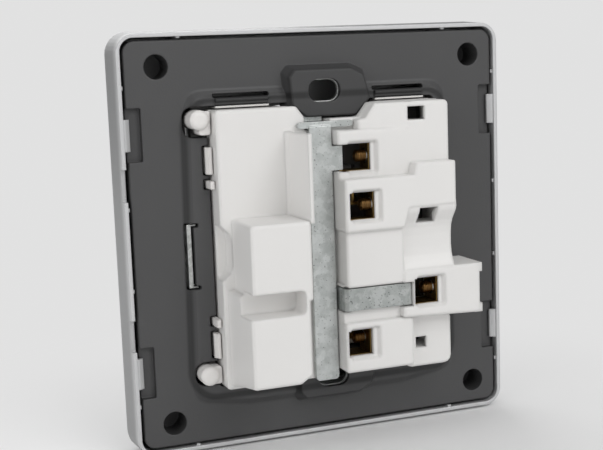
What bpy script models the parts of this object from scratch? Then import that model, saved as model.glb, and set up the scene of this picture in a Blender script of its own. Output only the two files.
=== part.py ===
"""Switched wall socket with its trim frame, modelled as the pieces it comes apart into.

+Z is up as the object is pictured, the face that the plug meets looks along -Y, and
Y = 0 is the wall plane on which the rim of the frame rests.  All sizes below are in
millimetres; each solid becomes metres when its mesh is made.
"""
import math

import bmesh
import bpy
from mathutils import Matrix, Vector

MM = 0.001
FIT = 0.3

# Trim frame
BORDER_W = 16.3
BORDER_H = 16.75
FRAME_DEPTH = 10.0
FRAME_CORNER = 4.0
FRAME_TAPER = 0.5
FRAME_WALL = 0.8
FRAME_WEB = 1.8
CLIP_Z = 24.4
CLIP_DROP = 1.2
CLIP_LENGTH = 6.4
CLIP_REACH = 1.3

# Plate behind the frame
PLATE_BACK = -0.4
PLATE_T = 2.5
PLATE_GAP = 0.65
PLATE_WALL = 1.5
COLLAR_HEIGHT = 1.1
COLLAR_RUN = 2.0
TAB_TOP = 2.85
TAB_SKIN = 0.95
FIXING_Z = 30.4
SLOT_LENGTH = 6.8
SLOT_WIDTH = 4.4
CORNER_HOLE = 5.0
CORNER_WALL = 0.7
CORNER_INSET_X = 8.0
CORNER_INSET_Z = 7.0
CORNER_SHIFT = -0.55

# Steel support
STEEL_T = 0.9
STEEL_WINDOW = (31.0, 32.4)

# Pins of the plug, measured from the plug's face
FACE_Y = -11.0
EARTH_X = 15.6
PIN_ROW = 22.23
PIN_PITCH = 11.11
PIN_CENTRE = -0.6
LIVE_PIN = (4.0, 6.35, 17.7)
EARTH_PIN = (4.0, 7.95, 22.7)

# Housing seen from behind
HOUSE_LEFT = 24.3
HOUSE_RIGHT = -25.5
HOUSE_TOP = 27.5
HOUSE_BOTTOM = -29.8
HOUSE_FOOT = 0.4
HOUSE_WALL = 1.3
BASE_TOP = 5.28
TALL_TOP = 17.14
SPLIT_X = -0.15
RECESS = 0.9

# Terminals
BORE = 5.0
BORE_TALL = 5.3
CLAMP_WALL = 0.45
CLAMP_THREAD = 1.6
SCREW_R = 1.45
HEAD_R = 2.15
HEAD_T = 1.8

# Switch
SWITCH_X = 16.0
SWITCH_Z = -20.0
ROCKER_Y = -7.5
ROCKER_THROW = 12.0
ROCKER_LENGTH = 16.4
ROCKER_WIDTH = 9.6
SEESAW_Y = 4.8
SEESAW_THROW = 16.0

# Shutter
SHUTTER_TRAVEL = 5.5
SHUTTER_BACK = -5.3
SHUTTER_T = 2.0

FACE_MARGIN = 2.5
COVER_W = SWITCH_X + ROCKER_LENGTH / 2 + FACE_MARGIN
COVER_H = COVER_W + FIT
COVER_T = 1.8
FRAME_W = 2 * (COVER_W + BORDER_W)
FRAME_H = 2 * (COVER_H + BORDER_H)
LIVE_X = EARTH_X - PIN_ROW
DECK_FRONT = SHUTTER_BACK + FIT
DECK_T = 1.8
PLATE_FRONT = PLATE_BACK - PLATE_T
STEEL_BACK = PLATE_FRONT - FIT
PLATE_W = FRAME_W / 2 - FRAME_TAPER - FRAME_WALL - PLATE_GAP
PLATE_H = FRAME_H / 2 - FRAME_TAPER - FRAME_WALL - PLATE_GAP
PLATE_TOP = PLATE_BACK + COLLAR_HEIGHT
OVERHANG = PLATE_TOP + FIT
CORNER_X = FRAME_W / 2 - CORNER_INSET_X
CORNER_Z = FRAME_H / 2 - CORNER_INSET_Z


def arc(cx, cy, radius, start, end, steps):
    """Points of an arc between two angles in degrees."""
    turns = [math.radians(start + (end - start) * i / steps) for i in range(steps + 1)]
    return [(cx + radius * math.cos(t), cy + radius * math.sin(t)) for t in turns]


def rounded(x0, x1, z0, z1, radius, steps=5):
    """Rectangle with rounded corners."""
    r = min(radius, (x1 - x0) / 2 - 1e-3, (z1 - z0) / 2 - 1e-3)
    points = arc(x1 - r, z1 - r, r, 0, 90, steps)
    points += arc(x0 + r, z1 - r, r, 90, 180, steps)
    points += arc(x0 + r, z0 + r, r, 180, 270, steps)
    return points + arc(x1 - r, z0 + r, r, 270, 360, steps)


def frame_outline(half_w, half_h, radius, steps=8):
    """Rounded rectangle about the centre."""
    return rounded(-half_w, half_w, -half_h, half_h, radius, steps)


def eased(points, radius, steps=3):
    """Polygon with every corner rounded by the same radius."""
    out = []
    for i, here in enumerate(points):
        p = Vector(here)
        a = (Vector(points[i - 1]) - p)
        b = (Vector(points[(i + 1) % len(points)]) - p)
        half = a.angle(b) / 2
        reach = min(radius / math.tan(half), a.length * 0.45, b.length * 0.45)
        start, end = p + a.normalized() * reach, p + b.normalized() * reach
        for k in range(steps + 1):
            t = k / steps
            point = start * (1 - t) ** 2 + p * 2 * t * (1 - t) + end * t * t
            out.append((point.x, point.y))
    return out


def grown(points, amount):
    """Outline moved outwards by the given amount, or inwards if negative."""
    area = sum(a[0] * b[1] - b[0] * a[1] for a, b in zip(points, points[1:] + points[:1]))
    side = amount if area > 0 else -amount
    out = []
    for i, here in enumerate(points):
        a = Vector(here) - Vector(points[i - 1])
        b = Vector(points[(i + 1) % len(points)]) - Vector(here)
        na = Vector((a.y, -a.x)).normalized()
        nb = Vector((b.y, -b.x)).normalized()
        mid = (na + nb).normalized()
        move = mid * (side / max(0.3, mid.dot(na)))
        out.append((here[0] + move.x, here[1] + move.y))
    return out


def flipped(points):
    """Outline mirrored top to bottom."""
    return [(x, -z) for x, z in reversed(points)]


class Stock:
    """Closed solids gathered in one mesh."""

    def __init__(self):
        self.bm = bmesh.new()

    def skin(self, loops):
        """Join equal loops into one closed solid with flat ends."""
        rings = [[self.bm.verts.new(p) for p in loop] for loop in loops]
        faces = [self.bm.faces.new(rings[0]), self.bm.faces.new(list(reversed(rings[-1])))]
        for low, high in zip(rings, rings[1:]):
            for i in range(len(low)):
                j = (i + 1) % len(low)
                faces.append(self.bm.faces.new((low[j], low[i], high[i], high[j])))
        bmesh.ops.recalc_face_normals(self.bm, faces=faces)
        return self

    def loft(self, *layers):
        """Solid through outlines in X and Z, each given with its depth along Y."""
        return self.skin([[(x, y, z) for x, z in outline] for y, outline in layers])

    def slab(self, outline, y0, y1):
        """Straight solid along Y."""
        return self.loft((y0, outline), (y1, outline))

    def soft_slab(self, outline, y0, y1, edge=0.35):
        """Straight solid along Y whose far edge is eased."""
        return self.loft((y0, outline), (y1 - edge, outline), (y1, grown(outline, -edge)))

    def along_z(self, profile, z0, z1):
        """Profile in X and Y carried along Z."""
        return self.skin([[(x, y, z) for x, y in profile] for z in (z0, z1)])

    def along_x(self, profile, x0, x1):
        """Profile in Y and Z carried along X."""
        return self.skin([[(x, y, z) for y, z in profile] for x in (x0, x1)])

    def block(self, x0, x1, y0, y1, z0, z1):
        """Rectangular block."""
        return self.slab([(x0, z0), (x1, z0), (x1, z1), (x0, z1)], y0, y1)

    def rod(self, axis, centre, radius, a, b, sides=24, tip=None):
        """Round bar along an axis; tip is a smaller radius at the far end."""
        loops = []
        ends = [(a, radius), (b, radius)]
        if tip is not None:
            ends = [(a, radius), (b - math.copysign(radius - tip, b - a), radius), (b, tip)]
        for depth, r in ends:
            ring = arc(centre[0], centre[1], r, 0, 360 - 360 / sides, sides - 1)
            if axis == "x":
                loops.append([(depth, p, q) for p, q in ring])
            elif axis == "y":
                loops.append([(p, depth, q) for p, q in ring])
            else:
                loops.append([(p, q, depth) for p, q in ring])
        return self.skin(loops)

    def turned(self, x, y, degrees):
        """Turn everything about an upright line."""
        bmesh.ops.rotate(self.bm, verts=self.bm.verts, cent=(x, y, 0),
                         matrix=Matrix.Rotation(math.radians(degrees), 3, "Z"))
        return self

    def place(self, name, origin=(0, 0, 0)):
        """Make the object, its origin at the given point."""
        bmesh.ops.translate(self.bm, verts=self.bm.verts, vec=-Vector(origin))
        bmesh.ops.scale(self.bm, verts=self.bm.verts, vec=(MM, MM, MM))
        mesh = bpy.data.meshes.new(name)
        self.bm.to_mesh(mesh)
        self.bm.free()
        obj = bpy.data.objects.new(name, mesh)
        obj.location = Vector(origin) * MM
        bpy.context.scene.collection.objects.link(obj)
        return obj


def finish(name, colour, roughness, metallic):
    """Plain surface finish."""
    made = bpy.data.materials.new(name)
    made.use_nodes = True
    shader = made.node_tree.nodes["Principled BSDF"]
    shader.inputs["Base Color"].default_value = (*colour, 1.0)
    shader.inputs["Roughness"].default_value = roughness
    shader.inputs["Metallic"].default_value = metallic
    return made


def part(name, look, base, *steps, origin=(0, 0, 0)):
    """One named piece: a base solid with solids joined to it and cut from it in turn."""
    obj = base.place(name, origin)
    obj.data.materials.append(look)
    for number, (operation, stock) in enumerate(steps):
        tool = stock.place(f"{name}_tool_{number}")
        tool.hide_render = True
        tool.display_type = "WIRE"
        step = obj.modifiers.new(operation.title(), "BOOLEAN")
        step.operation = operation
        step.solver = "EXACT"
        step.use_self = True
        step.object = tool
    return obj


def smooth(obj, degrees=35):
    """Shade the round faces of a piece smooth."""
    obj.data.shade_smooth()
    obj.data.set_sharp_from_angle(angle=math.radians(degrees))
    return obj


def tab_outline(margin=0.0):
    """Tab of the plate that covers the upper fixing ear."""
    line = [(6.9, 27.4), (3.9, 25.0), (-7.3, 25.0), (-10.6, 28.4), (-9.2, 33.4),
            (-6.4, 34.8), (6.2, 34.8), (7.3, 33.4)]
    return eased(grown(line, margin), 0.8)


def tab_foot(sign, margin=0.0):
    """Foot of a fixing tab where it rises from the plate."""
    foot = [(x * 1.12, z + 1.0 if z > 33 else z) for x, z in grown(tab_outline(), margin)]
    return foot if sign > 0 else flipped(foot)


def fixing_slot(sign, margin=0.0):
    """Slot for a fixing screw, above or below the centre, grown by a margin."""
    z = sign * FIXING_Z
    half_l, half_w = SLOT_LENGTH / 2 + margin, SLOT_WIDTH / 2 + margin
    return rounded(-0.25 - half_l, -0.25 + half_l, z - half_w, z + half_w, half_w - 0.2)


def corner_spots():
    """Centres of the four corner holes."""
    return [(side * CORNER_X + CORNER_SHIFT, sign * CORNER_Z - 0.2)
            for sign in (1, -1) for side in (-1, 1)]


def clip_spots():
    """Side and height of the four retaining tongues of the frame."""
    return [(1, CLIP_Z - CLIP_DROP), (1, -CLIP_Z - CLIP_DROP), (-1, CLIP_Z), (-1, -CLIP_Z)]


def pin_spots():
    """Centres of the two live pins and the earth pin."""
    return [(LIVE_X, PIN_CENTRE + PIN_PITCH), (LIVE_X, PIN_CENTRE - PIN_PITCH),
            (EARTH_X, PIN_CENTRE)]


def pin_cuts(stock, y0, y1, slack):
    """Apertures through which the three pins pass."""
    for x, z in pin_spots():
        pin = EARTH_PIN if x == EARTH_X else LIVE_PIN
        w, h = pin[0] / 2 + slack, pin[1] / 2 + slack
        stock.slab(rounded(x - w, x + w, z - h, z + h, 0.6, 3), y0, y1)
    return stock


def outer_frame(look):
    """Trim frame: tapered ring with a rounded front edge, ribs and four retaining tongues."""
    w, h, r = FRAME_W / 2, FRAME_H / 2, FRAME_CORNER
    front = -FRAME_DEPTH
    back_w, back_h = w - FRAME_TAPER, h - FRAME_TAPER
    base = Stock().loft((0, frame_outline(back_w, back_h, r)),
                        (front + 2.4, frame_outline(w, h, r + 0.3)),
                        (front + 1.1, frame_outline(w - 0.15, h - 0.15, r + 0.2)),
                        (front + 0.35, frame_outline(w - 0.5, h - 0.5, r)),
                        (front, frame_outline(w - 1.1, h - 1.1, r - 0.4)))
    in_w, in_h = back_w - FRAME_WALL, back_h - FRAME_WALL
    hollow = Stock().slab(frame_outline(in_w, in_h, r - 1.2), front + FRAME_WEB, 1)
    mouth = COVER_W + FIT, COVER_H + FIT
    hollow.loft((front - 1, frame_outline(mouth[0] + 1.6, mouth[1] + 1.6, 2.2)),
                (front + 0.6, frame_outline(mouth[0], mouth[1], 1.2)),
                (front + FRAME_WEB + 1, frame_outline(mouth[0], mouth[1], 1.2)))
    detail = Stock()
    rib = PLATE_GAP - FIT
    for sign in (-1, 1):
        for z in (-32.6, -8.3, 8.3, 32.6):
            x = sign * in_w
            detail.block(min(x - sign * rib, x + sign * 0.2), max(x - sign * rib, x + sign * 0.2),
                         front + FRAME_WEB - 0.2, -0.6, z - 0.4, z + 0.4)
        for x in (-29.6, 29.6):
            z = sign * in_h
            detail.block(x - 0.4, x + 0.4, front + FRAME_WEB - 0.2, -0.6,
                         min(z - sign * rib, z + sign * 0.2), max(z - sign * rib, z + sign * 0.2))
    for sign, z in clip_spots():
        tongue = [(sign * (in_w + 0.2), PLATE_BACK + 0.1), (sign * (in_w - 0.4), PLATE_BACK + 0.1),
                  (sign * (in_w - CLIP_REACH), PLATE_BACK - 0.5),
                  (sign * (in_w - CLIP_REACH), PLATE_BACK - 1.0),
                  (sign * (in_w + 0.2), PLATE_BACK - 1.0)]
        detail.along_z(tongue, z - CLIP_LENGTH / 2, z + CLIP_LENGTH / 2)
    notch = Stock()
    for z in (-17.6, 13.2):
        notch.block(back_w - FRAME_WALL - 0.5, back_w + 0.5, -1.3, 0.5, z - 3.3, z + 3.3)
    return part("outer_frame", look, base, ("DIFFERENCE", hollow), ("UNION", detail),
                ("DIFFERENCE", notch))


def plate_opening():
    """Opening of the plate with room for the lugs and tongues of the module."""
    cut = Stock().slab(rounded(HOUSE_RIGHT - 0.9, HOUSE_LEFT + 0.5, HOUSE_BOTTOM - 0.4, 28.2, 1.0),
                       -9, 2)
    for z0, z1 in ((22.0, 28.3), (-29.6, -24.5)):
        cut.slab(rounded(20, 29.7, z0, z1, 2.0), -9, 2)
    for z0, z1 in ((14.3, 20.4), (-23.9, -18.1), (11.4, 13.6), (-17.2, -14.9)):
        cut.slab(rounded(20, HOUSE_LEFT + 1.85, z0, z1, 0.3, 2), -9, 2)
    for x0, x1 in ((11.2, 23.3), (-24.0, -12.0)):
        cut.slab(rounded(x0, x1, 29.9, 30.7, 0.3, 2), -9, 2)
    cut.slab(rounded(28.6, 30.5, -9.1, 4.7, 0.4), -9, 2)
    for z0, z1 in ((3.8, 4.7), (-9.1, -8.2)):
        cut.slab(rounded(27.6, 30.0, z0, z1, 0.35), -9, 2)
    return cut


def snap_bars():
    """Stepped bars of the plate under which the module snaps at the top."""
    made = Stock()
    for x0, x1 in ((11.6, 22.9), (-23.6, -12.4)):
        step = [(PLATE_BACK, 28.35), (PLATE_TOP + 0.3, 28.5), (PLATE_TOP + 0.3, 29.0),
                (PLATE_TOP + 0.7, 29.1), (PLATE_TOP + 0.7, 29.6), (PLATE_TOP + 0.5, 29.8),
                (PLATE_BACK, 29.8)]
        made.along_x(step, x0, x1)
    return made


def mounting_plate(look):
    """Dark plate with its skirt, the raised collar, two fixing tabs and clip pockets."""
    front = -FRAME_DEPTH + FRAME_WEB + FIT
    base = Stock().soft_slab(frame_outline(PLATE_W, PLATE_H, 2.4), front, PLATE_BACK, 0.2)
    pan = Stock().slab(frame_outline(PLATE_W - PLATE_WALL, PLATE_H - PLATE_WALL, 1.4),
                       front - 1, PLATE_FRONT)
    collar_line = eased([(29.4, 31.4), (30.4, -33.0), (18.0, -35.0), (-18.0, -35.0),
                         (-30.4, -33.0), (-29.4, 31.4)], 4.5, 6)
    edge = grown(collar_line, 0.35)
    collar = Stock().loft((PLATE_BACK - 0.5, edge), (PLATE_BACK, edge),
                          (PLATE_BACK + 0.15, grown(edge, -0.4)),
                          (PLATE_TOP - 0.15, grown(edge, 0.4 - COLLAR_RUN)),
                          (PLATE_TOP, grown(edge, -COLLAR_RUN)))
    tabs, caves, holes = Stock(), Stock(), Stock()
    tab = tab_outline()
    caves.block(SPLIT_X, 5.5, PLATE_FRONT - 0.5, TAB_TOP - TAB_SKIN, 24.0, 26.5)
    for sign in (1, -1):
        high = tab if sign > 0 else flipped(tab)
        low = tab_foot(sign)
        tabs.loft((PLATE_FRONT, low), (PLATE_BACK, low), (TAB_TOP - 0.3, high),
                  (TAB_TOP, grown(high, -0.3)))
        cave = tab_outline(-0.85) if sign > 0 else flipped(tab_outline(-0.85))
        caves.slab(cave, PLATE_FRONT - 0.5, TAB_TOP - TAB_SKIN)
        holes.slab(fixing_slot(sign, 0.15), -1, TAB_TOP + 1)
    bosses, deep = Stock(), front + 0.4
    for spot in corner_spots():
        bosses.rod("y", spot, CORNER_HOLE / 2 + CORNER_WALL, deep, PLATE_FRONT + 0.5)
        holes.rod("y", spot, CORNER_HOLE / 2, deep + CORNER_WALL, 1)
    for side, z in clip_spots():
        x = side * (PLATE_W - 1.3)
        holes.slab(rounded(x - 1.7, x + 1.7, z - 5.4, z + 5.4, 0.4), PLATE_BACK - 1.3, 1)
    return part("mounting_plate", look, base, ("DIFFERENCE", pan), ("UNION", collar),
                ("UNION", bosses), ("DIFFERENCE", plate_opening()), ("UNION", snap_bars()),
                ("UNION", tabs), ("DIFFERENCE", caves), ("DIFFERENCE", holes))


def steel_support(look):
    """Pressed steel ring with joggled fixing ears and an upturned side lip."""
    front = STEEL_BACK - STEEL_T
    ring = Stock().slab(frame_outline(PLATE_W - PLATE_WALL - 1.0, PLATE_H - PLATE_WALL - 1.0, 3.0),
                        front, STEEL_BACK)
    window = Stock().slab(frame_outline(*STEEL_WINDOW, 2.0), front - 1, STEEL_BACK + 1)
    ear_top = TAB_TOP - TAB_SKIN - FIT
    bends, holes = Stock(), Stock()
    for sign in (1, -1):
        profile = [(front, 36.0), (front, 32.8), (ear_top - STEEL_T, 32.8),
                   (ear_top - STEEL_T, 26.4), (ear_top, 26.4), (ear_top, 33.3),
                   (ear_top - 0.4, 33.7), (STEEL_BACK, 33.7), (STEEL_BACK, 36.0)]
        bends.along_x([(y, sign * z) for y, z in profile], -5.0, 4.2)
        holes.slab(fixing_slot(sign), 0, TAB_TOP)
    for spot in corner_spots():
        holes.rod("y", spot, CORNER_HOLE / 2 + CORNER_WALL + FIT, front - 1, STEEL_BACK + 1)
    lip_top = PLATE_BACK + 0.2
    lip = [(33.0, front), (33.0, STEEL_BACK), (29.9, STEEL_BACK), (29.9, lip_top),
           (29.0, lip_top), (29.0, front + 0.5), (29.5, front)]
    bends.along_z(lip, -8.8, 4.4)
    for z0, z1 in ((4.1, 4.4), (-8.8, -8.5)):
        bends.block(28.0, 29.2, lip_top - 1.2, lip_top, z0, z1)
    return part("steel_support", look, ring, ("DIFFERENCE", window), ("UNION", bends),
                ("DIFFERENCE", holes))


def front_cover(look):
    """Face of the module with its pin apertures, rocker bearings and shutter guides."""
    outline = frame_outline(COVER_W, COVER_H, 1.2, 5)
    skirt_end = DECK_FRONT - FIT
    base = Stock().loft((FACE_Y, grown(outline, -0.5)), (FACE_Y + 0.5, outline),
                        (skirt_end, outline))
    hollow = Stock().slab(frame_outline(COVER_W - 1.3, COVER_H - 1.3, 0.5, 2), FACE_Y + COVER_T, 0)
    fittings = Stock()
    inner = FACE_Y + COVER_T - 0.3
    for sign in (-1, 1):
        z = SWITCH_Z + sign * (ROCKER_WIDTH / 2 + 0.9)
        fittings.block(SWITCH_X - 2.6, SWITCH_X + 2.6, inner, ROCKER_Y + 1.9, z - 0.55, z + 0.55)
        rail = PIN_CENTRE + sign * (PIN_PITCH + 5.6)
        fittings.block(-17.5, 4.5, inner, skirt_end - 0.6, rail - 0.5, rail + 0.5)
    fittings.block(-20.0, -18.6, inner, skirt_end, PIN_CENTRE - 3.0, PIN_CENTRE + 3.0)
    cuts = pin_cuts(Stock(), FACE_Y - 1, FACE_Y + COVER_T + 1, 0.32)
    cuts.block(SWITCH_X - ROCKER_LENGTH / 2 - 0.7, SWITCH_X + ROCKER_LENGTH / 2 + 0.7,
               FACE_Y - 1, FACE_Y + COVER_T + 0.3,
               SWITCH_Z - ROCKER_WIDTH / 2 - FIT, SWITCH_Z + ROCKER_WIDTH / 2 + FIT)
    cuts.rod("z", (SWITCH_X, ROCKER_Y), 1.15, SWITCH_Z - 6.4, SWITCH_Z + 6.4)
    return part("front_cover", look, base, ("DIFFERENCE", hollow), ("UNION", fittings),
                ("DIFFERENCE", cuts))


def rocker(look):
    """Rocker with two faces that meet in a valley, its pivot stubs and plunger post."""
    half = ROCKER_LENGTH / 2
    x, y = SWITCH_X, ROCKER_Y
    rise = half * math.tan(math.radians(ROCKER_THROW / 2))
    top = FACE_Y - 0.2
    profile = [(x - half, top - rise), (x, top), (x + half, top - rise),
               (x + half + 0.3, y - 2.0), (x + half - 0.6, y - 1.3), (x + 3.0, y - 0.9),
               (x + 2.4, y + 0.8), (x - 2.4, y + 0.8), (x - 3.0, y - 0.9),
               (x - half + 0.6, y - 1.3), (x - half - 0.3, y - 2.0)]
    w = ROCKER_WIDTH / 2
    base = Stock().along_z(profile, SWITCH_Z - w, SWITCH_Z + w)
    more = Stock().rod("z", (x, y), 1.0, SWITCH_Z - w - 1.4, SWITCH_Z + w + 1.4)
    more.rod("y", (x, SWITCH_Z), 2.4, y, y + 8.0)
    bore = Stock().rod("y", (x, SWITCH_Z), 1.75, y + 2.6, y + 9.0)
    rest = ROCKER_THROW / 2
    for stock in (base, more, bore):
        stock.turned(x, y, rest)
    return part("rocker", look, base, ("UNION", more), ("DIFFERENCE", bore),
                origin=(x, y, SWITCH_Z))


def plunger(look):
    """Sprung plunger that rides in the post of the rocker."""
    x, y = SWITCH_X, ROCKER_Y
    made = Stock().rod("y", (x, SWITCH_Z), 1.5, y + 6.0, y + 11.7, tip=0.6)
    obj = made.turned(x, y, ROCKER_THROW / 2).place("plunger", (x, y, SWITCH_Z))
    obj.data.materials.append(look)
    return smooth(obj)


def coil(name, look, centre, axis, length, radius, wire, turns):
    """Helical spring from its seat at the centre point, along an axis."""
    curve = bpy.data.curves.new(name, "CURVE")
    curve.dimensions = "3D"
    curve.bevel_depth = wire * MM
    curve.bevel_resolution = 1
    curve.resolution_u = 1
    curve.use_fill_caps = True
    steps = int(turns * 12)
    line = curve.splines.new("POLY")
    line.points.add(steps)
    turn = Vector((0, 0, 1)).rotation_difference(Vector(axis))
    for i in range(steps + 1):
        angle = 2 * math.pi * i / 12
        along = wire + (length - 2 * wire) * i / steps
        point = turn @ Vector((radius * math.cos(angle), radius * math.sin(angle), along))
        line.points[i].co = (*((Vector(centre) + point) * MM), 1)
    obj = bpy.data.objects.new(name, curve)
    bpy.context.scene.collection.objects.link(obj)
    curve.materials.append(look)
    return obj


def springs(look):
    """Return springs of the shutter and of the plunger."""
    end = LIVE_X - 3.9
    coil("shutter_spring", look, (end - FIT, SHUTTER_BACK - 1.7, PIN_CENTRE), (-1, 0, 0),
         end + 18.6 - 2 * FIT, 1.15, 0.2, 6)
    tilt = math.radians(ROCKER_THROW / 2)
    axis = Vector((-math.sin(tilt), math.cos(tilt), 0))
    seat = Vector((SWITCH_X, ROCKER_Y, SWITCH_Z)) + axis * 2.75
    coil("plunger_spring", look, seat, axis, 3.1, 1.1, 0.17, 4)


def shutter(look):
    """Sliding shutter with two windows and the ramp that the earth pin drives."""
    y0, y1 = SHUTTER_BACK - SHUTTER_T, SHUTTER_BACK
    half = PIN_PITCH + 4.7
    base = Stock().slab(rounded(LIVE_X - 3.9, 3.4, PIN_CENTRE - half, PIN_CENTRE + half, 0.8, 3),
                        y0, y1)
    ramp = [(2.0, y0), (11.4, y0), (11.4, FACE_Y + COVER_T + FIT),
            (12.4, FACE_Y + COVER_T + FIT), (18.5, y1 - 0.6), (18.5, y1), (2.0, y1)]
    wedge = Stock().along_z(ramp, PIN_CENTRE - 4.6, PIN_CENTRE + 4.6)
    windows = Stock()
    for z in (PIN_CENTRE - PIN_PITCH, PIN_CENTRE + PIN_PITCH):
        x = LIVE_X + SHUTTER_TRAVEL
        windows.loft((y0 - 1, rounded(x - 3.1, x + 3.1, z - 4.1, z + 4.1, 0.6, 3)),
                     (y0 + 0.8, rounded(x - 2.4, x + 2.4, z - 3.6, z + 3.6, 0.6, 3)),
                     (y1 + 1, rounded(x - 2.4, x + 2.4, z - 3.6, z + 3.6, 0.6, 3)))
    return part("shutter", look, base, ("UNION", wedge), ("DIFFERENCE", windows))


def module_body(look):
    """Front moulding of the module: deck, flange under the plate, walls, lugs and tongues."""
    y0, y1 = DECK_FRONT, DECK_FRONT + DECK_T
    flange = [(27.2, 29.9), (10.6, 29.9), (8.6, 24.9), (-9.6, 24.9), (-12.4, 29.9), (-27.2, 29.9),
              (-27.2, -31.6), (-12.4, -31.6), (-9.6, -24.9), (8.6, -24.9), (10.6, -31.6),
              (27.2, -31.6)]
    base = Stock().slab(eased(flange, 0.8), y0, y1)
    wall_top = HOUSE_FOOT - FIT
    right, left = HOUSE_RIGHT, HOUSE_LEFT
    top = [(left, HOUSE_TOP), (8.7, HOUSE_TOP), (5.3, 24.6), (-8.7, 24.6), (-12.2, HOUSE_TOP),
           (right, HOUSE_TOP)]
    line = top + flipped(top)
    walls = Stock().slab(line, y1 - 0.5, wall_top)
    well = Stock().slab(grown(line, -HOUSE_WALL), y1, wall_top + 1)
    cuts = pin_cuts(Stock(), y0 - 1, y1 + 1, 0.4)
    cuts.slab(rounded(SWITCH_X - 4.4, SWITCH_X + 4.4, SWITCH_Z - 3.4, SWITCH_Z + 3.4, 1.0), -9, 1)
    lugs = Stock()
    root = y0 + DECK_T / 3
    side = left + FIT
    for x, z, z0, z1 in ((27.0, 25.7, 22.6, 27.4), (27.3, -27.0, -28.9, -25.2)):
        lugs.slab(rounded(side, x, z0, z1, 0.5, 3), root, 2.4)
        for y0, r0, y1, r1 in ((root, 2.0, 3.0, 2.0), (3.0, 2.0, 3.45, 1.55), (3.45, 1.55, 3.6, 1.0)):
            lugs.loft((y0, arc(x, z, r0, 0, 340, 17)), (y1 + 0.01, arc(x, z, r1, 0, 340, 17)))
    for z0, z1 in ((14.6, 20.1), (-23.6, -18.4)):
        hook = [(left + 0.3, root), (left + 1.2, root), (left + 1.2, 1.4), (left + 1.5, 1.4),
                (left + 0.9, 2.64), (left + 0.3, 2.64)]
        lugs.along_z(hook, z0, z1)
    for z0, z1 in ((11.7, 13.3), (-16.9, -15.2)):
        lugs.block(left + 0.3, left + 1.2, root, 3.65, z0, z1)
    for x0, x1 in ((11.5, 23.0), (-23.7, -12.4)):
        step = [(root, HOUSE_TOP + FIT), (root, 28.05), (PLATE_TOP, 28.05), (PLATE_TOP + 0.5, 28.2),
                (PLATE_TOP + 0.5, HOUSE_TOP + FIT)]
        lugs.along_x(step, x0, x1)
    return part("module_body", look, base, ("UNION", walls), ("DIFFERENCE", well),
                ("DIFFERENCE", cuts), ("UNION", lugs))


class Terminal:
    """Position of one wire clamp: bore centre, depth range, screw axis and screw length."""

    def __init__(self, name, screw, x, z, front, back, axis_y, reach, outlet):
        self.name, self.screw = name, screw
        self.x, self.z = x, z
        self.front, self.back, self.axis_y = front, back, axis_y
        self.reach, self.outlet = reach, outlet

    def edges(self, slack=0.0):
        """Outer limits of the clamp in X and Z, grown by a clearance."""
        x0 = self.x - BORE / 2 - CLAMP_THREAD - slack
        x1 = self.x + BORE / 2 + CLAMP_WALL + slack
        half = BORE_TALL / 2 + CLAMP_WALL + slack
        return x0, x1, self.z - half, self.z + half

    def clamp(self, look):
        """Brass cage with a square bore along Y and a threaded hole along X."""
        base = Stock().slab(rounded(*self.edges(), 0.4, 3), self.front, self.back)
        half = BORE_TALL / 2
        cuts = Stock().slab(rounded(self.x - BORE / 2, self.x + BORE / 2, self.z - half,
                                    self.z + half, 0.4, 2), self.front - 1, self.back + 1)
        cuts.rod("x", (self.axis_y, self.z), SCREW_R + 0.15, self.x - BORE / 2 + 0.4,
                 self.x - BORE / 2 - CLAMP_THREAD - 1)
        return part(self.name, look, base, ("DIFFERENCE", cuts))

    def drive(self, look):
        """Slotted clamp screw, drawn back clear of the bore."""
        tip = self.x - BORE / 2 - 0.1
        under = tip - self.reach
        top = under - HEAD_T
        base = Stock().rod("x", (self.axis_y, self.z), SCREW_R, under - 0.3, tip, tip=1.0)
        head = Stock().rod("x", (self.axis_y, self.z), HEAD_R, under, top, tip=HEAD_R - 0.3)
        slot = Stock().block(top - 1, top + 0.8, self.axis_y - 0.3, self.axis_y + 0.3,
                             self.z - 3, self.z + 3)
        made = part(self.screw, look, base, ("UNION", head), ("DIFFERENCE", slot),
                    origin=(top, self.axis_y, self.z))
        return smooth(made)

    def wells(self, cuts, roof):
        """Chamber, mouth and screw passage cut into the housing for this terminal."""
        x0, x1, z0, z1 = self.edges(0.2)
        half_x, half_z = BORE / 2 + 0.05, BORE_TALL / 2 + 0.02
        cuts.block(x0, x1, -1, self.back + 0.2, z0, z1)
        cuts.slab(rounded(self.x - half_x, self.x + half_x, self.z - half_z, self.z + half_z, 0.3, 2),
                  self.back, roof + 1)
        lead = rounded(self.x - half_x - 1.9, self.x + half_x - 0.02, self.z - half_z - 1.0,
                       self.z + half_z + 0.8, 0.7, 3)
        cuts.loft((roof - RECESS, grown(lead, -0.5)), (roof - 0.3, grown(lead, -0.25)),
                  (roof + 0.5, grown(lead, 0.2)))
        cuts.rod("x", (self.axis_y, self.z), SCREW_R + 0.4, x0 + 1, self.outlet - 1, 16)
        cuts.rod("x", (self.axis_y, self.z), HEAD_R + 0.3,
                 self.x - BORE / 2 - self.reach + 0.9, self.outlet - 1, 20)


def terminals():
    """The four wire clamps."""
    return [Terminal("earth_clamp_upper", "earth_screw_upper", -4.75, 16.6, 3.4, 7.7, 5.6, 5.5,
                     HOUSE_RIGHT),
            Terminal("neutral_clamp", "neutral_screw", -4.05, 6.85, 7.2, 10.85, 9.05, 5.5,
                     HOUSE_RIGHT),
            Terminal("earth_clamp_side", "earth_screw_side", -18.6, -12.4, 4.6, 10.05, 7.3, 4.4,
                     -31.8),
            Terminal("line_clamp", "line_screw", -3.6, -22.15, 2.95, 8.6, 4.8, 9.3, -26.0)]


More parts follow.
